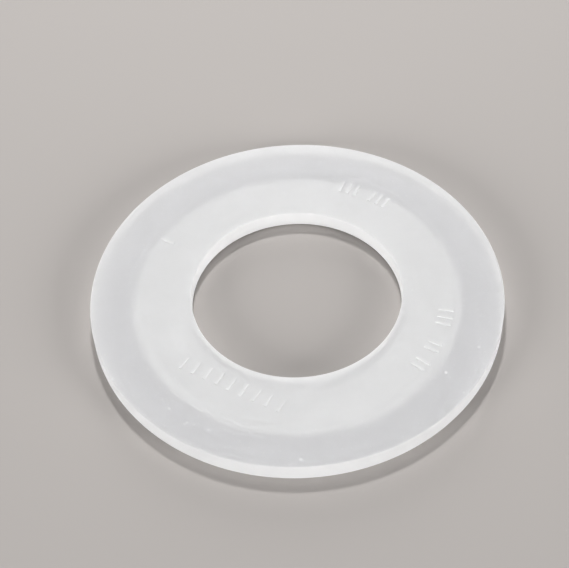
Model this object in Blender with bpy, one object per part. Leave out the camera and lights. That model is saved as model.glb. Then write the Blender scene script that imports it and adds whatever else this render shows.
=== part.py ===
"""Flush valve seal: one flat ring moulded in milky silicone rubber.

Metres, +Z up. The ring's axis is the Z axis, and its underside lies in the plane Z = 0.
"""

import math

import bmesh
import bpy
from mathutils import Matrix

# The ring
OUTER_DIAMETER = 0.0630
HOLE_DIAMETER = 0.0322
THICKNESS = 0.0030
OUTER_EDGE_ROUND = 0.00020
HOLE_EDGE_ROUND = 0.00015

# Underside: the outer band seals, and inside it a shallow recess runs in to the hole
SEALING_BAND_WIDTH = 0.0063
RECESS_DEPTH = 0.00020
RECESS_SLOPE_WIDTH = 0.00080

# Upper side: a field for the raised marks, a hair lower than the outer band
FIELD_INSIDE_RECESS = 0.00050
FIELD_DEPTH = 0.00010
FIELD_SLOPE_WIDTH = 0.00040

# Raised bars in the field, as high as the field is deep, so that none stands above the outer band
BAR_WIDTH = 0.00060
BAR_LENGTH = 0.00240
BAR_DRAFT = 0.00008
BAR_ROOT = 0.00050

# One straight row of bars beside the hole, as long as the field has room for
ROW_DIRECTION = math.radians(238.5)
ROW_PITCH = 0.00205
ROW_GAP_TO_HOLE = 0.00230
ROW_GAP_TO_FIELD_EDGE = 0.00180

# Groups of bars round the field's edge: the direction of the middle of each, and its bars
ARC_PITCH = 0.00130
ARC_GAP_TO_FIELD_EDGE = 0.00060
ARC_GROUPS = (
    (math.radians(-16.5), 3),
    (math.radians(-31.0), 2),
    (math.radians(-40.5), 2),
    (math.radians(65.5), 3),
    (math.radians(52.0), 3),
    (math.radians(149.5), 1),
)

# How finely round shapes are divided, and the angle from which an edge counts as sharp
RING_SEGMENTS = 120
ROUND_STEPS = 3
SLOPE_STEPS = 5
SHARP_ANGLE = math.radians(35)

# Milky silicone rubber with a satin skin, as the photo shows it
SILICONE_COLOUR = (0.72, 0.73, 0.74, 1.0)
SILICONE_ROUGHNESS = 0.38
SILICONE_IOR = 1.41
SILICONE_SCATTER = 0.6
SILICONE_SCATTER_DEPTH = 0.0015

# Worked out from the sizes above
OUTER_RADIUS = OUTER_DIAMETER / 2
HOLE_RADIUS = HOLE_DIAMETER / 2
RECESS_RADIUS = OUTER_RADIUS - SEALING_BAND_WIDTH
FIELD_RADIUS = RECESS_RADIUS - FIELD_INSIDE_RECESS
FIELD_HEIGHT = THICKNESS - FIELD_DEPTH


def clear_scene():
    for old in list(bpy.data.objects):
        bpy.data.objects.remove(old, do_unlink=True)


def silicone():
    """The one material of the ring, which lets light sink in a little way."""
    material = bpy.data.materials.new("milky_silicone")
    material.use_nodes = True
    shader = material.node_tree.nodes["Principled BSDF"]
    shader.inputs["Base Color"].default_value = SILICONE_COLOUR
    shader.inputs["Roughness"].default_value = SILICONE_ROUGHNESS
    shader.inputs["Metallic"].default_value = 0.0
    shader.inputs["IOR"].default_value = SILICONE_IOR
    shader.inputs["Subsurface Weight"].default_value = SILICONE_SCATTER
    shader.inputs["Subsurface Radius"].default_value = (1.0, 1.0, 1.0)
    shader.inputs["Subsurface Scale"].default_value = SILICONE_SCATTER_DEPTH
    return material


def round_edge(centre_r, centre_z, radius, start):
    """A quarter circle in the section, clockwise from the direction start."""
    points = []
    for step in range(ROUND_STEPS + 1):
        angle = start - math.pi / 2 * step / ROUND_STEPS
        r = centre_r + radius * math.cos(angle)
        z = centre_z + radius * math.sin(angle)
        points.append((r, z))
    return points


def recess_slope():
    """The soft slope from the sealing band up into the recess, a half wave of a cosine."""
    points = []
    for step in range(SLOPE_STEPS + 1):
        share = step / SLOPE_STEPS
        r = RECESS_RADIUS + RECESS_SLOPE_WIDTH * (0.5 - share)
        z = RECESS_DEPTH * (1 - math.cos(math.pi * share)) / 2
        points.append((r, z))
    return points


def ring_section():
    """The outline of the section, from the outer wall's top clockwise round to the outer band."""
    outer_r = OUTER_RADIUS - OUTER_EDGE_ROUND
    hole_r = HOLE_RADIUS + HOLE_EDGE_ROUND
    points = round_edge(outer_r, THICKNESS - OUTER_EDGE_ROUND, OUTER_EDGE_ROUND, math.pi / 2)
    points += round_edge(outer_r, OUTER_EDGE_ROUND, OUTER_EDGE_ROUND, 0)
    points += recess_slope()
    points += round_edge(hole_r, RECESS_DEPTH + HOLE_EDGE_ROUND, HOLE_EDGE_ROUND, -math.pi / 2)
    points += round_edge(hole_r, FIELD_HEIGHT - HOLE_EDGE_ROUND, HOLE_EDGE_ROUND, math.pi)
    points.append((FIELD_RADIUS - FIELD_SLOPE_WIDTH / 2, FIELD_HEIGHT))
    points.append((FIELD_RADIUS + FIELD_SLOPE_WIDTH / 2, THICKNESS))
    return points


def object_from(bm, name):
    """An object that holds the mesh, with its faces pointing out and its round faces smooth."""
    bmesh.ops.recalc_face_normals(bm, faces=bm.faces)
    mesh = bpy.data.meshes.new(name)
    bm.to_mesh(mesh)
    bm.free()
    mesh.shade_smooth()
    mesh.set_sharp_from_angle(angle=SHARP_ANGLE)
    made = bpy.data.objects.new(name, mesh)
    bpy.context.scene.collection.objects.link(made)
    return made


def turned_ring():
    """The section turned about the Z axis."""
    bm = bmesh.new()
    corners = [bm.verts.new((r, 0, z)) for r, z in ring_section()]
    for first, second in zip(corners, corners[1:] + corners[:1]):
        bm.edges.new((first, second))
    bmesh.ops.spin(
        bm,
        geom=bm.verts[:] + bm.edges[:],
        cent=(0, 0, 0),
        axis=(0, 0, 1),
        angle=2 * math.pi,
        steps=RING_SEGMENTS,
        use_merge=True,
    )
    return object_from(bm, "seal_ring")


def straight_row():
    """The place of each bar in the straight row, which stands across ROW_DIRECTION."""
    distance = HOLE_RADIUS + ROW_GAP_TO_HOLE + BAR_LENGTH / 2
    reach = FIELD_RADIUS - ROW_GAP_TO_FIELD_EDGE
    far_side = distance + BAR_LENGTH / 2
    room = 2 * math.sqrt(max(reach**2 - far_side**2, 0))
    count = int(room / ROW_PITCH)
    for index in range(count):
        along = ROW_PITCH * (index - (count - 1) / 2)
        yield Matrix.Rotation(ROW_DIRECTION, 4, "Z") @ Matrix.Translation((distance, along, 0))


def arc_groups():
    """The place of each bar in the groups, where each one points at the ring's axis."""
    distance = FIELD_RADIUS - ARC_GAP_TO_FIELD_EDGE - BAR_LENGTH / 2
    for middle, count in ARC_GROUPS:
        for index in range(count):
            turn = middle + ARC_PITCH / distance * (index - (count - 1) / 2)
            yield Matrix.Rotation(turn, 4, "Z") @ Matrix.Translation((distance, 0, 0))


def add_bar(bm, place):
    """A bar rooted in the ring, with its length along X and sides that slope in by the draft."""
    root_z = FIELD_HEIGHT - BAR_ROOT
    centre_z = (root_z + THICKNESS) / 2
    size = Matrix.Diagonal((BAR_LENGTH, BAR_WIDTH, THICKNESS - root_z, 1))
    made = bmesh.ops.create_cube(bm, size=1, matrix=Matrix.Translation((0, 0, centre_z)) @ size)
    for corner in made["verts"]:
        if corner.co.z > centre_z:
            corner.co.x -= math.copysign(BAR_DRAFT, corner.co.x)
            corner.co.y -= math.copysign(BAR_DRAFT, corner.co.y)
    bmesh.ops.transform(bm, matrix=place, verts=made["verts"])


def raised_bars():
    """All the bars as one helper, which the ring takes in."""
    bm = bmesh.new()
    for place in [*straight_row(), *arc_groups()]:
        add_bar(bm, place)
    bars = object_from(bm, "raised_bars")
    bars.hide_render = True
    bars.display_type = "WIRE"
    return bars


def join_bars(ring, bars):
    join = ring.modifiers.new("Raised bars", "BOOLEAN")
    join.operation = "UNION"
    join.solver = "EXACT"
    join.object = bars


clear_scene()
seal_ring = turned_ring()
join_bars(seal_ring, raised_bars())
seal_ring.data.materials.append(silicone())
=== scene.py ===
"""The looks of the flush valve seal: a flat ring of milky silicone on a plain pale floor.

Metres, +Z up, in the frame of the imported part: the ring's axis is Z, and it lies on Z = 0.
"""

import math

import bmesh
import bpy
from mathutils import Matrix, Vector


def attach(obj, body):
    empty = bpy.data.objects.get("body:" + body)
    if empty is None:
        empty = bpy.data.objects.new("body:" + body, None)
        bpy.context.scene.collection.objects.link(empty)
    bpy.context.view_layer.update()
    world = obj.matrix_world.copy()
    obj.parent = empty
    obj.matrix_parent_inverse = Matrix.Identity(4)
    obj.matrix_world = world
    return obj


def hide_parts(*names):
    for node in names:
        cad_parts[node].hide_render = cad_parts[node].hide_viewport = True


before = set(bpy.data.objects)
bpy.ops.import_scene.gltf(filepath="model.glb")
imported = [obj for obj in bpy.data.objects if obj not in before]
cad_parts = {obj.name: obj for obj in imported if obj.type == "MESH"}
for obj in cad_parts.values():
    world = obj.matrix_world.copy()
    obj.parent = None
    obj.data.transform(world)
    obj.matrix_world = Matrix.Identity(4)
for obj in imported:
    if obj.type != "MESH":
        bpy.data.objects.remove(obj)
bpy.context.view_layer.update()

# The ring
OUTER_RADIUS = 0.0315
HOLE_RADIUS = 0.0161
THICKNESS = 0.0030
OUTER_EDGE_ROUND = 0.00020
HOLE_EDGE_ROUND = 0.00015
SEALING_BAND_WIDTH = 0.0063
RECESS_RADIUS = OUTER_RADIUS - SEALING_BAND_WIDTH
RECESS_DEPTH = 0.00020
RECESS_SLOPE_WIDTH = 0.00080
FIELD_INSIDE_RECESS = 0.00050
FIELD_RADIUS = RECESS_RADIUS - FIELD_INSIDE_RECESS
FIELD_DEPTH = 0.00010
FIELD_HEIGHT = THICKNESS - FIELD_DEPTH
FIELD_SLOPE_WIDTH = 0.00040

# The raised bars: a straight row beside the hole, and groups round the field's edge
BAR_WIDTH = 0.00060
BAR_LENGTH = 0.00240
BAR_DRAFT = 0.00008
BAR_ROOT = 0.00050
ROW_DIRECTION = math.radians(238.5)
ROW_GAP_TO_HOLE = 0.00230
ROW_DISTANCE = HOLE_RADIUS + ROW_GAP_TO_HOLE + BAR_LENGTH / 2
ROW_PITCH = 0.00205
ROW_COUNT = 9
ARC_GAP_TO_FIELD_EDGE = 0.00060
ARC_DISTANCE = FIELD_RADIUS - ARC_GAP_TO_FIELD_EDGE - BAR_LENGTH / 2
ARC_PITCH = 0.00130
ARC_GROUPS = (
    (math.radians(-16.5), 3),
    (math.radians(-31.0), 2),
    (math.radians(-40.5), 2),
    (math.radians(65.5), 3),
    (math.radians(52.0), 3),
    (math.radians(149.5), 1),
)

# How finely the ring is divided, and the angle from which an edge counts as sharp
RING_SEGMENTS = 360
ROUND_STEPS = 6
SLOPE_STEPS = 10
LONGEST_STEP = 0.0010
SHARP_ANGLE = math.radians(25)

# A wall's faces have normals with less Z than this, and a mark's faces lie higher above the field than this
WALL_NORMAL_Z = 0.75
MARK_LEAST_HEIGHT = 0.00001

# Milky silicone with a satin skin
SILICONE_IOR = 1.41
ROUGHNESS = 0.50
ROUGHNESS_SPREAD = 0.03

# The upper skin and the marks: the share of clear rubber in them, through which the underside shows
SKIN_COLOUR = (0.94, 0.94, 0.945, 1.0)
SKIN_CLEARNESS = 0.65
MARK_CLEARNESS = 0.40

# The skin's edges, painted lighter as a glow for the light that also comes in by the walls
RIM_PAINTED_GLOW_WIDTH = 0.00035
HOLE_PAINTED_GLOW_WIDTH = 0.0009
PAINTED_GLOW_COLOUR = (0.94, 0.94, 0.94, 1.0)
PAINTED_GLOW_CLEARNESS = 0.50

# The walls, and the share of the light on each that passes into the ring and spreads there
WALL_COLOUR = (0.97, 0.97, 0.97, 1.0)
RIM_WALL_PASSES = 0.40
HOLE_WALL_PASSES = 0.32

# The underside, its tones painted light and shade: the white recess, the band round it painted darker where
# it lies on the floor and lighter towards the rim, the painted white ring by the rim for light that comes in
# by the wall, and the painted greyer edge of the hole
RECESS_COLOUR = (0.97, 0.97, 0.965, 1.0)
BAND_PAINTED_SHADE_COLOUR = (0.66, 0.656, 0.676, 1.0)
BAND_RIM_PAINTED_LIGHT_COLOUR = (0.76, 0.757, 0.775, 1.0)
BAND_EDGE_WIDTH = 0.0006
RIM_PAINTED_LIGHT_RING_WIDTH = 0.0008
RIM_PAINTED_LIGHT_RING_EDGE_WIDTH = 0.0004
HOLE_EDGE_PAINTED_SHADE_COLOUR = (0.78, 0.78, 0.79, 1.0)
HOLE_EDGE_PAINTED_SHADE_WIDTH = 0.0015

# Patterns of noise, each with the noise values between which it goes from its least to its most
CLOUD_SIZE = 0.004
CLOUD_DEPTH = 0.04
CLOUD_DETAIL = 3.0
CLOUD_RANGE = (0.25, 0.75)
SATIN_SIZE = 0.0015
SATIN_RANGE = (0.3, 0.7)
BAND_EDGE_CLOUD_SIZE = 0.006
BAND_EDGE_CLOUD_DEPTH = 0.0003
BAND_EDGE_CLOUD_RANGE = (0.2, 0.8)

# The fine grain of the surface
GRAIN_SIZE = 0.00025
GRAIN_DEPTH = 0.00001
GRAIN_STRENGTH = 0.15

# Dust on the upper side: where each large speck lies and its radius, and the share of that radius out to
# which it is solid
DUST_COLOUR = (1.0, 1.0, 1.0, 1.0)
LARGE_SPECKS = (
    (-0.02748, -0.01469, 0.00033),
    (-0.00081, -0.03025, 0.00030),
    (-0.01920, -0.02049, 0.00026),
    (-0.01665, -0.02304, 0.00024),
    (0.02091, -0.01680, 0.00032),
    (0.02626, -0.01255, 0.00030),
    (0.02302, -0.02049, 0.00024),
    (0.01756, -0.00104, 0.00026),
)
LARGE_SPECK_CORE = 0.6

# Fine dust: the width of the cells that may hold a speck, its radius as a share of that width, and the share
# of the radius out to which it is solid. Specks set in between two of the cells' random tones, and get as
# dense as the last value says
FINE_DUST_CELL = 0.0011
FINE_DUST_SHARE = 0.20
FINE_DUST_CORE = 0.4
FINE_DUST_CHOICE = (0.45, 0.75)
FINE_DUST_DENSITY = 0.70

# The floor, a hair below the ring's underside, so that the two faces don't share a plane
FLOOR_SIZE = 4
FLOOR_GAP = 0.00003
FLOOR_COLOUR = (0.50, 0.47, 0.45, 1.0)
FLOOR_ROUGHNESS = 0.8

# The light: a faint even room light, a key lamp behind the ring, and low lamps that shine into its walls
ROOM_STRENGTH = 0.12
BEHIND = math.radians(0)
FRONT_RIGHT = math.radians(122)
FRONT_LEFT = math.radians(238)
KEY_ELEVATION = math.radians(55)
KEY_DISTANCE = 0.5
KEY_SIZE = 0.065
KEY_POWER = 1.22
LOW_DISTANCE = 3.0
LOW_SIZE = 1.2
LOW_BEHIND_ELEVATION = math.radians(15)
LOW_BEHIND_POWER = 37
LOW_FRONT_ELEVATION = math.radians(14)
LOW_FRONT_POWER = 74

# Lamps lower than this make no glare on the skin
LOWEST_GLARE = math.radians(30)

# The photograph's view: its frame in pixels, and the camera that its ellipses give
FRAME_WIDTH = 569
FOCAL_LENGTH_PIXELS = 1393
SENSOR_WIDTH = 36
CAMERA_ELEVATION = math.radians(50.48)
CAMERA_ROLL = math.radians(-3.11)
CAMERA_DISTANCE = 0.2173
CAMERA_AIM = Vector((-0.00176, 0.00392, 0))
CAMERA_NEAREST = 0.01


def round_edge(centre_r, centre_z, radius, start):
    """A quarter circle in the section, clockwise from the direction start."""
    points = []
    for step in range(ROUND_STEPS + 1):
        angle = start - math.pi / 2 * step / ROUND_STEPS
        points.append((centre_r + radius * math.cos(angle), centre_z + radius * math.sin(angle)))
    return points


def recess_slope():
    """The soft slope from the sealing band up into the recess, a half wave of a cosine."""
    points = []
    for step in range(SLOPE_STEPS + 1):
        share = step / SLOPE_STEPS
        r = RECESS_RADIUS + RECESS_SLOPE_WIDTH * (0.5 - share)
        points.append((r, RECESS_DEPTH * (1 - math.cos(math.pi * share)) / 2))
    return points


def ring_section():
    """The outline of the section, from the outer wall's top clockwise round to the outer band."""
    outer_r = OUTER_RADIUS - OUTER_EDGE_ROUND
    hole_r = HOLE_RADIUS + HOLE_EDGE_ROUND
    points = round_edge(outer_r, THICKNESS - OUTER_EDGE_ROUND, OUTER_EDGE_ROUND, math.pi / 2)
    points += round_edge(outer_r, OUTER_EDGE_ROUND, OUTER_EDGE_ROUND, 0)
    points += recess_slope()
    points += round_edge(hole_r, RECESS_DEPTH + HOLE_EDGE_ROUND, HOLE_EDGE_ROUND, -math.pi / 2)
    points += round_edge(hole_r, FIELD_HEIGHT - HOLE_EDGE_ROUND, HOLE_EDGE_ROUND, math.pi)
    points.append((FIELD_RADIUS - FIELD_SLOPE_WIDTH / 2, FIELD_HEIGHT))
    points.append((FIELD_RADIUS + FIELD_SLOPE_WIDTH / 2, THICKNESS))
    return points


def finely(points):
    """The closed outline again, with its long stretches divided."""
    fine = []
    for (r0, z0), (r1, z1) in zip(points, points[1:] + points[:1]):
        parts = math.ceil(math.hypot(r1 - r0, z1 - z0) / LONGEST_STEP)
        for part in range(parts):
            share = part / parts
            fine.append((r0 + (r1 - r0) * share, z0 + (z1 - z0) * share))
    return fine


def object_from(bm, name):
    """An object that holds the mesh, with its faces pointing out."""
    bmesh.ops.recalc_face_normals(bm, faces=bm.faces)
    mesh = bpy.data.meshes.new(name)
    bm.to_mesh(mesh)
    bm.free()
    made = bpy.data.objects.new(name, mesh)
    bpy.context.scene.collection.objects.link(made)
    return made


def turned_ring():
    """The section turned about the Z axis."""
    bm = bmesh.new()
    corners = [bm.verts.new((r, 0, z)) for r, z in finely(ring_section())]
    for first, second in zip(corners, corners[1:] + corners[:1]):
        bm.edges.new((first, second))
    bmesh.ops.spin(
        bm,
        geom=bm.verts[:] + bm.edges[:],
        cent=(0, 0, 0),
        axis=(0, 0, 1),
        angle=2 * math.pi,
        steps=RING_SEGMENTS,
        use_merge=True,
    )
    return object_from(bm, "moulded_ring")


def bar_places():
    """The place of each bar in the straight row, and in the groups, where each one points at the axis."""
    for index in range(ROW_COUNT):
        along = ROW_PITCH * (index - (ROW_COUNT - 1) / 2)
        yield Matrix.Rotation(ROW_DIRECTION, 4, "Z") @ Matrix.Translation((ROW_DISTANCE, along, 0))
    for middle, count in ARC_GROUPS:
        for index in range(count):
            turn = middle + ARC_PITCH / ARC_DISTANCE * (index - (count - 1) / 2)
            yield Matrix.Rotation(turn, 4, "Z") @ Matrix.Translation((ARC_DISTANCE, 0, 0))


def add_bar(bm, place):
    """A bar rooted in the ring, with its length along X and sides that slope in by the draft."""
    root_z = FIELD_HEIGHT - BAR_ROOT
    centre_z = (root_z + THICKNESS) / 2
    size = Matrix.Diagonal((BAR_LENGTH, BAR_WIDTH, THICKNESS - root_z, 1))
    made = bmesh.ops.create_cube(bm, size=1, matrix=Matrix.Translation((0, 0, centre_z)) @ size)
    for corner in made["verts"]:
        if corner.co.z > centre_z:
            corner.co.x -= math.copysign(BAR_DRAFT, corner.co.x)
            corner.co.y -= math.copysign(BAR_DRAFT, corner.co.y)
    bmesh.ops.transform(bm, matrix=place, verts=made["verts"])


def join_bars(ring):
    """Take the bars into the ring's mesh, and set its smooth and sharp edges."""
    bm = bmesh.new()
    for place in bar_places():
        add_bar(bm, place)
    bars = object_from(bm, "bars_helper")
    join = ring.modifiers.new("Raised bars", "BOOLEAN")
    join.operation = "UNION"
    join.solver = "EXACT"
    join.object = bars
    graph = bpy.context.evaluated_depsgraph_get()
    joined = bpy.data.meshes.new_from_object(ring.evaluated_get(graph))
    joined.shade_smooth()
    joined.set_sharp_from_angle(angle=SHARP_ANGLE)
    ring.modifiers.clear()
    ring.data = joined
    bpy.data.objects.remove(bars, do_unlink=True)


class Nodes:
    """Short ways to add the nodes of one material."""

    def __init__(self, material):
        material.use_nodes = True
        self.tree = material.node_tree
        self.shader = self.tree.nodes["Principled BSDF"]
        self.surface = self.tree.nodes["Material Output"].inputs["Surface"]

    def put(self, socket, value):
        """Link the socket to a socket, or set it to a plain value."""
        if isinstance(value, bpy.types.NodeSocket):
            self.tree.links.new(value, socket)
        else:
            socket.default_value = value

    def add(self, kind, **inputs):
        """A node with the given inputs, whose names have _ in place of a space."""
        node = self.tree.nodes.new(kind)
        for name, value in inputs.items():
            self.put(node.inputs[name.replace("_", " ")], value)
        return node

    def math(self, operation, first, second=0.0):
        node = self.tree.nodes.new("ShaderNodeMath")
        node.operation = operation
        self.put(node.inputs[0], first)
        self.put(node.inputs[1], second)
        return node.outputs[0]

    def ramp(self, value, start, end, first=0.0, last=1.0):
        """From first at start to last at end, with a soft beginning and end."""
        node = self.tree.nodes.new("ShaderNodeMapRange")
        node.interpolation_type = "SMOOTHSTEP"
        self.put(node.inputs["Value"], value)
        self.put(node.inputs["From Min"], start)
        self.put(node.inputs["From Max"], end)
        self.put(node.inputs["To Min"], first)
        self.put(node.inputs["To Max"], last)
        return node.outputs["Result"]

    def mix(self, share, first, second, blend="MIX"):
        node = self.tree.nodes.new("ShaderNodeMix")
        node.data_type = "RGBA"
        node.blend_type = blend
        colours = [socket for socket in node.inputs if socket.type == "RGBA"]
        self.put(node.inputs["Factor"], share)
        self.put(colours[0], first)
        self.put(colours[1], second)
        return [socket for socket in node.outputs if socket.type == "RGBA"][0]

    def place(self):
        return self.add("ShaderNodeTexCoord").outputs["Object"]

    def radius(self):
        """The distance from the ring's axis."""
        split = self.add("ShaderNodeSeparateXYZ", Vector=self.place())
        across = self.math("MULTIPLY", split.outputs["X"], split.outputs["X"])
        along = self.math("MULTIPLY", split.outputs["Y"], split.outputs["Y"])
        return self.math("SQRT", self.math("ADD", across, along))

    def noise(self, size, detail=2.0):
        """Cloudy noise, from 0 to 1, whose patches are about as big as size."""
        texture = self.add("ShaderNodeTexNoise", Vector=self.place(), Scale=1 / size, Detail=detail)
        return texture.outputs["Fac"]


def value_in(nodes, value):
    """The value itself, or what it makes with the nodes where it is a function."""
    return value(nodes) if callable(value) else value


def pass_light(nodes, colour, share):
    """Let the given share of the light through the surface, spread in all directions."""
    spread = nodes.add("ShaderNodeBsdfTranslucent", Color=colour)
    both = nodes.tree.nodes.new("ShaderNodeMixShader")
    both.inputs[0].default_value = share
    nodes.put(both.inputs[1], nodes.shader.outputs["BSDF"])
    nodes.put(both.inputs[2], spread.outputs["BSDF"])
    nodes.put(nodes.surface, both.outputs["Shader"])


def silicone(name, colour, clearness=0.0, passes=0.0):
    """Silicone with a satin skin, a fine grain and faint clouds.

    Clearness is the share of it that is clear rubber, and passes is the share of the light that goes through
    the surface and spreads. The colour and the clearness are plain values, or functions that make them with
    the material's nodes.
    """
    material = bpy.data.materials.new(name)
    nodes = Nodes(material)
    shader = nodes.shader
    clouds = nodes.ramp(nodes.noise(CLOUD_SIZE, CLOUD_DETAIL), *CLOUD_RANGE, 1 - CLOUD_DEPTH, 1.0)
    tone = nodes.mix(1.0, value_in(nodes, colour), clouds, "MULTIPLY")
    least_rough = ROUGHNESS - ROUGHNESS_SPREAD
    most_rough = ROUGHNESS + ROUGHNESS_SPREAD
    satin = nodes.ramp(nodes.noise(SATIN_SIZE), *SATIN_RANGE, least_rough, most_rough)
    grain = nodes.add(
        "ShaderNodeBump",
        Height=nodes.noise(GRAIN_SIZE),
        Strength=GRAIN_STRENGTH,
        Distance=GRAIN_DEPTH,
    )
    nodes.put(shader.inputs["Base Color"], tone)
    nodes.put(shader.inputs["Roughness"], satin)
    nodes.put(shader.inputs["IOR"], SILICONE_IOR)
    nodes.put(shader.inputs["Transmission Weight"], value_in(nodes, clearness))
    nodes.put(shader.inputs["Normal"], grain.outputs["Normal"])
    if passes > 0:
        pass_light(nodes, tone, passes)
    return material


def painted_edge_glow(nodes):
    """From 0 in the middle of the skin to 1 at its two edges, where a glow is painted for the light that
    also comes in by the walls.
    """
    radius = nodes.radius()
    at_rim = nodes.ramp(radius, OUTER_RADIUS - RIM_PAINTED_GLOW_WIDTH, OUTER_RADIUS - OUTER_EDGE_ROUND)
    at_hole = nodes.ramp(radius, HOLE_RADIUS + HOLE_PAINTED_GLOW_WIDTH, HOLE_RADIUS)
    return nodes.math("MAXIMUM", at_rim, at_hole)


def large_specks(nodes):
    cover = 0.0
    for x, y, size in LARGE_SPECKS:
        offset = nodes.add("ShaderNodeVectorMath")
        offset.operation = "DISTANCE"
        nodes.put(offset.inputs[0], nodes.place())
        nodes.put(offset.inputs[1], (x, y, THICKNESS))
        speck = nodes.ramp(offset.outputs["Value"], size, size * LARGE_SPECK_CORE)
        cover = nodes.math("MAXIMUM", cover, speck)
    return cover


def fine_dust(nodes):
    """Tiny specks on the outer band, one in the middle of some of the cells of a Voronoi pattern."""
    cells = nodes.add("ShaderNodeTexVoronoi", Vector=nodes.place(), Scale=1 / FINE_DUST_CELL)
    cells.voronoi_dimensions = "2D"
    speck = nodes.ramp(cells.outputs["Distance"], FINE_DUST_SHARE, FINE_DUST_SHARE * FINE_DUST_CORE)
    chosen = nodes.ramp(cells.outputs["Color"], *FINE_DUST_CHOICE, 0.0, FINE_DUST_DENSITY)
    outside_field = nodes.ramp(nodes.radius(), FIELD_RADIUS, RECESS_RADIUS)
    return nodes.math("MULTIPLY", nodes.math("MULTIPLY", speck, chosen), outside_field)


def dust(nodes):
    """1 where dust lies thick on the upper side, and 0 where it is clean."""
    return nodes.math("MAXIMUM", large_specks(nodes), fine_dust(nodes))


def skin_clearness(nodes):
    """Clear in the middle, less so at its edges where the glow is painted, and not at all under thick dust.
    """
    clean = nodes.ramp(painted_edge_glow(nodes), 0.0, 1.0, SKIN_CLEARNESS, PAINTED_GLOW_CLEARNESS)
    return nodes.math("MULTIPLY", clean, nodes.math("SUBTRACT", 1.0, dust(nodes)))


# The skin's colour: the painted edge glow, with the dust on top of it
def skin_colour(nodes):
    clean = nodes.mix(painted_edge_glow(nodes), SKIN_COLOUR, PAINTED_GLOW_COLOUR)
    return nodes.mix(dust(nodes), clean, DUST_COLOUR)


def under_painted_light_and_shade(nodes):
    """The underside, painted with light and shade: white in the recess and by the rim, greyer on the band
    and close to the hole.
    """
    edge_clouds = nodes.noise(BAND_EDGE_CLOUD_SIZE)
    ragged = nodes.ramp(edge_clouds, *BAND_EDGE_CLOUD_RANGE, -BAND_EDGE_CLOUD_DEPTH, BAND_EDGE_CLOUD_DEPTH)
    radius = nodes.math("ADD", nodes.radius(), ragged)
    # The band, painted darker where it lies on the floor and painted lighter towards the rim
    band_tone = nodes.mix(nodes.ramp(radius, RECESS_RADIUS, OUTER_RADIUS), BAND_PAINTED_SHADE_COLOUR, BAND_RIM_PAINTED_LIGHT_COLOUR)
    band = nodes.ramp(radius, RECESS_RADIUS - BAND_EDGE_WIDTH / 2, RECESS_RADIUS + BAND_EDGE_WIDTH / 2)
    ring_start = OUTER_RADIUS - RIM_PAINTED_LIGHT_RING_WIDTH
    # A white ring by the rim, painted light for the light that comes in by the wall
    painted_rim_light = nodes.ramp(nodes.radius(), ring_start, ring_start + RIM_PAINTED_LIGHT_RING_EDGE_WIDTH)
    # A greyer edge by the hole, painted shade
    away_from_painted_hole_shade = nodes.ramp(nodes.radius(), HOLE_RADIUS, HOLE_RADIUS + HOLE_EDGE_PAINTED_SHADE_WIDTH)
    recess_tone = nodes.mix(away_from_painted_hole_shade, HOLE_EDGE_PAINTED_SHADE_COLOUR, RECESS_COLOUR)
    return nodes.mix(painted_rim_light, nodes.mix(band, recess_tone, band_tone), RECESS_COLOUR)


def ring_materials():
    """The skin on top, the two walls, the underside and the marks, each as clear as it looks."""
    return [
        silicone("silicone_skin", skin_colour, clearness=skin_clearness),
        silicone("silicone_rim_wall", WALL_COLOUR, passes=RIM_WALL_PASSES),
        silicone("silicone_hole_wall", WALL_COLOUR, passes=HOLE_WALL_PASSES),
        silicone("silicone_underside", under_painted_light_and_shade),
        silicone("silicone_mark", WALL_COLOUR, clearness=MARK_CLEARNESS),
    ]


def face_material(face):
    """The name of the material that the face takes by its place and its direction."""
    radius = math.hypot(face.center.x, face.center.y)
    steep = abs(face.normal.z) < WALL_NORMAL_Z
    in_field = radius < FIELD_RADIUS - FIELD_SLOPE_WIDTH / 2
    if steep and radius > OUTER_RADIUS - OUTER_EDGE_ROUND:
        return "silicone_rim_wall"
    if steep and radius < HOLE_RADIUS + HOLE_EDGE_ROUND:
        return "silicone_hole_wall"
    if face.normal.z < 0:
        return "silicone_underside"
    if in_field and face.center.z > FIELD_HEIGHT + MARK_LEAST_HEIGHT:
        return "silicone_mark"
    return "silicone_skin"


def paint(ring):
    """Give the ring its materials, and each face the one of its region."""
    slot_numbers = {}
    ring.data.materials.clear()
    for number, material in enumerate(ring_materials()):
        ring.data.materials.append(material)
        slot_numbers[material.name] = number
    for face in ring.data.polygons:
        face.material_index = slot_numbers[face_material(face)]


def floor():
    bpy.ops.mesh.primitive_plane_add(size=FLOOR_SIZE, location=(0, 0, -FLOOR_GAP))
    made = bpy.context.object
    made.name = "floor"
    material = bpy.data.materials.new("floor")
    nodes = Nodes(material)
    nodes.put(nodes.shader.inputs["Base Color"], FLOOR_COLOUR)
    nodes.put(nodes.shader.inputs["Roughness"], FLOOR_ROUGHNESS)
    made.data.materials.append(material)


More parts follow.
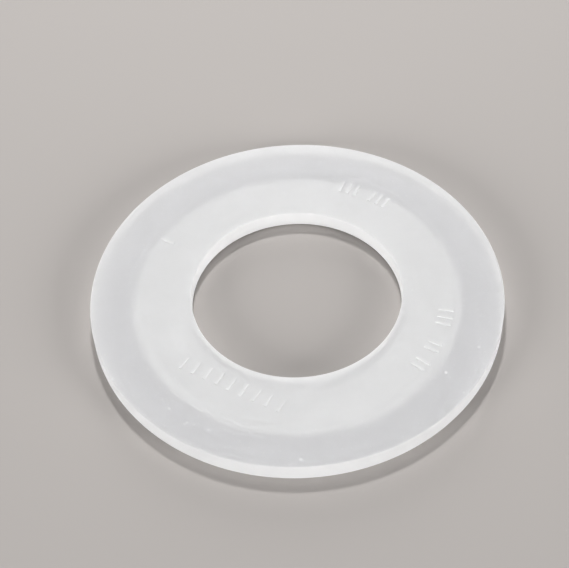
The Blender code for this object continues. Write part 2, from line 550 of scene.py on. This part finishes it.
def area_light(name, azimuth, elevation, distance, size, power):
    """A round lamp that faces the ring. The azimuth runs clockwise from +Y, seen from above."""
    data = bpy.data.lights.new(name, "AREA")
    data.shape = "DISK"
    data.size = size
    data.energy = power
    lamp = bpy.data.objects.new(name, data)
    direction = Vector((
        math.sin(azimuth) * math.cos(elevation),
        math.cos(azimuth) * math.cos(elevation),
        math.sin(elevation),
    ))
    lamp.location = direction * distance
    lamp.rotation_euler = direction.to_track_quat("Z", "Y").to_euler()
    lamp.visible_camera = False
    lamp.visible_glossy = elevation > LOWEST_GLARE
    bpy.context.scene.collection.objects.link(lamp)


def low_light(name, azimuth, elevation, power):
    """A broad lamp low down and far off, whose light comes in by the walls."""
    area_light(name, azimuth, elevation, LOW_DISTANCE, LOW_SIZE, power)


def light_scene():
    world = bpy.data.worlds.new("soft_room")
    world.use_nodes = True
    background = world.node_tree.nodes["Background"]
    background.inputs["Color"].default_value = (1, 1, 1, 1)
    background.inputs["Strength"].default_value = ROOM_STRENGTH
    bpy.context.scene.world = world
    area_light("key_from_behind", BEHIND, KEY_ELEVATION, KEY_DISTANCE, KEY_SIZE, KEY_POWER)
    low_light("low_from_behind", BEHIND, LOW_BEHIND_ELEVATION, LOW_BEHIND_POWER)
    low_light("fill_front_left", FRONT_LEFT, LOW_FRONT_ELEVATION, LOW_FRONT_POWER)
    low_light("fill_front_right", FRONT_RIGHT, LOW_FRONT_ELEVATION, LOW_FRONT_POWER)


def place_camera():
    """The camera looks along +Y and down at its aim, with the roll about its own axis."""
    data = bpy.data.cameras.new("camera")
    data.sensor_width = SENSOR_WIDTH
    data.lens = SENSOR_WIDTH * FOCAL_LENGTH_PIXELS / FRAME_WIDTH
    data.clip_start = CAMERA_NEAREST
    camera = bpy.data.objects.new("camera", data)
    forward = Vector((0, math.cos(CAMERA_ELEVATION), -math.sin(CAMERA_ELEVATION)))
    tilt = Matrix.Rotation(math.pi / 2 - CAMERA_ELEVATION, 4, "X")
    roll = Matrix.Rotation(CAMERA_ROLL, 4, "Z")
    camera.matrix_world = Matrix.Translation(CAMERA_AIM - forward * CAMERA_DISTANCE) @ tilt @ roll
    bpy.context.scene.collection.objects.link(camera)
    bpy.context.scene.camera = camera


bpy.context.scene.view_settings.view_transform = "Standard"
place_camera()
light_scene()
floor()

ring = turned_ring()
join_bars(ring)
paint(ring)
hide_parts("seal_ring")
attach(ring, "root")
